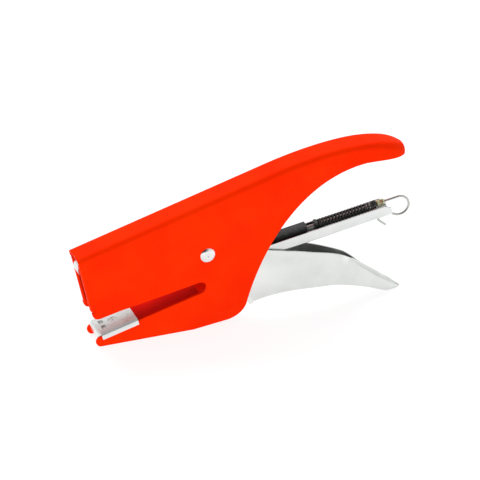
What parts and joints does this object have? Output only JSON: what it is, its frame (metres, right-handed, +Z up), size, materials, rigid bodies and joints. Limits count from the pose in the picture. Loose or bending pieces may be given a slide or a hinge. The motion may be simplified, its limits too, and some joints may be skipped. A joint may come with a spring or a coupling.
{
  "type": "plier stapler",
  "caption": "Hand-held plier stapler: folded sheet body with fixed jaw and anvil, squeeze lever, staple magazine and pull-out feed rod, sprung on one rivet.",
  "frame": {"origin": "middle of the object's box, on the surface that it stands on", "axes": "+X from the head towards the handles, +Y across the body, +Z up"},
  "size_m": [0.1629, 0.015, 0.0819],
  "materials": {
    "red_paint": "gloss",
    "nickel": "satin nickel plate",
    "chrome": "bright plate",
    "zinc": "zinc plate",
    "yellow_zinc": "yellow zinc plate",
    "spring_steel": "black oxide",
    "black_oxide": "black oxide",
    "black_plastic": "matte"
  },
  "bodies": {
    "housing": {"body_shell": "red_paint", "jaw_liner": "red_paint", "anvil_plate": "nickel", "anvil_rivet": "nickel", "pivot_rivet": "nickel", "pivot_bush": "zinc", "pivot_washers": "nickel", "roof_bumper": "black_plastic", "return_spring": "spring_steel"},
    "magazine": {"magazine_channel": "chrome", "magazine_nose": "chrome", "staple_core": "black_oxide", "ear_spacer": "zinc"},
    "lever": {"lever_shell": "chrome", "arm_spacer": "zinc", "arm_rivet": "nickel", "hammer_pin": "nickel", "spring_stud": "zinc", "drive_spring": "spring_steel"},
    "driver": {"driver_blade": "nickel", "hammer_block": "chrome", "driver_rivets": "nickel"},
    "rod": {"pull_rod": "chrome", "rod_ferrule": "yellow_zinc", "feed_spring": "spring_steel"},
    "pusher": {"pusher_saddle": "black_oxide", "pusher_block": "black_oxide", "pusher_pins": "nickel"}
  },
  "joints": [
    {"name": "close", "type": "hinge", "parent": "housing", "child": "magazine", "pos_m": [-0.0191, 0, 0.03964], "axis": [0, -1, 0], "range_deg": [0, 7.6], "stiffness_Nm_per_rad": 0.8, "springref_deg": -20.05, "deforming": ["return_spring"]},
    {"name": "squeeze", "type": "hinge", "parent": "magazine", "child": "lever", "pos_m": [-0.0191, 0, 0.03964], "axis": [0, -1, 0], "range_deg": [0, 6.3], "stiffness_Nm_per_rad": 3, "springref_deg": -8.59, "deforming": ["drive_spring"]},
    {"name": "drive", "type": "slide", "parent": "magazine", "child": "driver", "axis": [0.165, 0, -0.9863], "range_m": [0, 0.006]},
    {"name": "pull_out", "type": "slide", "parent": "magazine", "child": "rod", "axis": [0.9863, 0, 0.165], "range_m": [0, 0.08]},
    {"name": "feed", "type": "slide", "parent": "rod", "child": "pusher", "axis": [0.9863, 0, 0.165], "range_m": [-0.05, 0], "deforming": ["feed_spring"]}
  ],
  "couplings": [
    {"joint": "drive", "follows": "squeeze", "m_per_rad": 0.0537}
  ]
}
